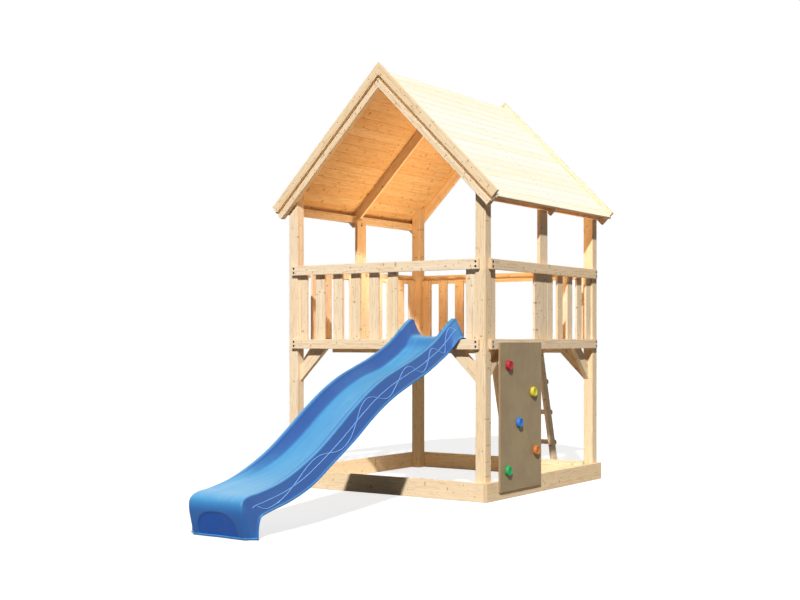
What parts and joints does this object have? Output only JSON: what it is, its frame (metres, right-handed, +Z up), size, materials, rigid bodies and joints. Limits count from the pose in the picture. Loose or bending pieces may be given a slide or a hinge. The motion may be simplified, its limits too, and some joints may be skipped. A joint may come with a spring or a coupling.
{
  "type": "play tower with slide",
  "caption": "Timber play tower with a gable roof over a railed platform, a wave slide, a ladder and a panel with climbing holds.",
  "frame": {"origin": "on the ground, on the plane of the roof ridge and of the front faces of the corner posts, within a centimetre of the middle of the whole footprint", "axes": "+Z up; the slide runs towards -Y, the ladder is on the +Y side and the climbing panel on the +X side; the roof ridge lies along Y"},
  "size_m": [2.2354, 4.9635, 3.5212],
  "materials": {
    "spruce": "planed untreated spruce with knots",
    "roof_boards": "planed untreated spruce boards, laid edge to edge",
    "panel": "plywood faced with a taupe film",
    "slide_blue": "blown polyethylene, satin",
    "hold_red": "moulded, satin",
    "hold_yellow": "moulded, satin",
    "hold_blue": "moulded, satin",
    "hold_orange": "moulded, satin",
    "hold_green": "moulded, satin"
  },
  "bodies": {
    "root": {"post_front_left": "spruce", "post_front_right": "spruce", "post_back_left": "spruce", "post_back_right": "spruce", "mid_post_left": "spruce", "mid_post_right": "spruce", "beam_front": "spruce", "beam_back": "spruce", "beam_left": "spruce", "beam_right": "spruce", "handrail_front": "spruce", "handrail_back": "spruce", "handrail_left": "spruce", "handrail_right": "spruce", "base_front": "spruce", "base_back": "spruce", "base_left": "spruce", "base_right": "spruce", "wall_plate_left": "spruce", "wall_plate_right": "spruce", "rafter_front_left": "spruce", "rafter_front_right": "spruce", "rafter_back_left": "spruce", "rafter_back_right": "spruce", "rafter_middle_left": "spruce", "rafter_middle_right": "spruce", "fascia_front_left": "spruce", "fascia_front_right": "spruce", "fascia_back_left": "spruce", "fascia_back_right": "spruce", "lower_fascia_front_left": "spruce", "lower_fascia_front_right": "spruce", "roof_deck_left": "roof_boards", "roof_deck_right": "roof_boards", "brace_front_left": "spruce", "brace_front_right": "spruce", "brace_back_left": "spruce", "brace_back_right": "spruce", "brace_left_near": "spruce", "brace_left_far": "spruce", "brace_right_near": "spruce", "brace_right_far": "spruce", "fence_front": "spruce", "fence_back": "spruce", "fence_left": "spruce", "fence_right": "spruce", "platform_floor": "spruce", "climbing_panel": "panel", "hold_red": "hold_red", "hold_yellow": "hold_yellow", "hold_blue": "hold_blue", "hold_orange": "hold_orange", "hold_green": "hold_green", "ladder_rail_left": "spruce", "ladder_rail_right": "spruce", "rung_1": "spruce", "rung_2": "spruce", "rung_3": "spruce", "rung_4": "spruce", "slide": "slide_blue"}
  },
  "joints": []
}
